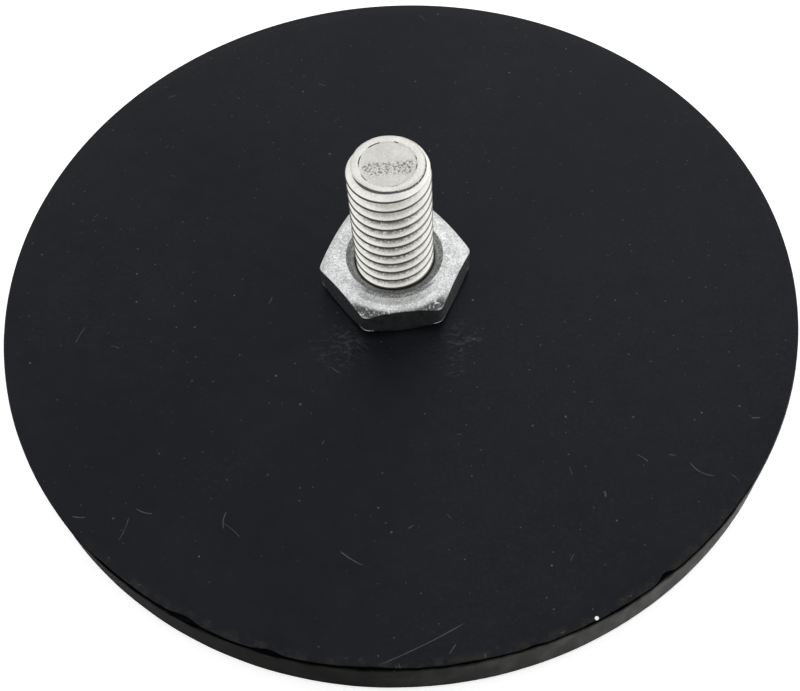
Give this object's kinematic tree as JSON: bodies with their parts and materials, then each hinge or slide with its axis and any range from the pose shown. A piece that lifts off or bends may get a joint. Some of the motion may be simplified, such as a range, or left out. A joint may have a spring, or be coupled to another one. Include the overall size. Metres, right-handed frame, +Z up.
{
  "type": "rubber-coated stud magnet",
  "caption": "Flat round magnet in a one-piece rubber jacket, with a central threaded stud and a thin hexagon nut, for gripping flat steel.",
  "frame": {"origin": "centre of the gripping face, on the underside of the rubber jacket", "axes": "+Z up along the stud, away from the gripping face; +X towards the first outer magnet"},
  "size_m": [0.0604, 0.0604, 0.0178],
  "materials": {
    "jacket_rubber": "smooth moulded black rubber, semi-gloss",
    "plate_steel": "plain mild steel",
    "stud_zinc": "bright zinc plated steel",
    "nut_zinc": "bright zinc plated steel, slightly blue",
    "magnet_nickel": "nickel plated"
  },
  "bodies": {
    "magnet_body": {"backing_plate": "plate_steel", "inner_magnet_01": "magnet_nickel", "inner_magnet_02": "magnet_nickel", "inner_magnet_03": "magnet_nickel", "inner_magnet_04": "magnet_nickel", "inner_magnet_05": "magnet_nickel", "inner_magnet_06": "magnet_nickel", "outer_magnet_01": "magnet_nickel", "outer_magnet_02": "magnet_nickel", "outer_magnet_03": "magnet_nickel", "outer_magnet_04": "magnet_nickel", "outer_magnet_05": "magnet_nickel", "outer_magnet_06": "magnet_nickel", "outer_magnet_07": "magnet_nickel", "outer_magnet_08": "magnet_nickel", "outer_magnet_09": "magnet_nickel", "outer_magnet_10": "magnet_nickel", "outer_magnet_11": "magnet_nickel", "outer_magnet_12": "magnet_nickel", "rubber_jacket": "jacket_rubber", "threaded_stud": "stud_zinc"},
    "nut": {"hex_nut": "nut_zinc"}
  },
  "joints": [
    {"name": "nut_travel", "type": "slide", "parent": "magnet_body", "child": "nut", "axis": [0, 0, 1], "range_m": [0, 0.012]}
  ]
}
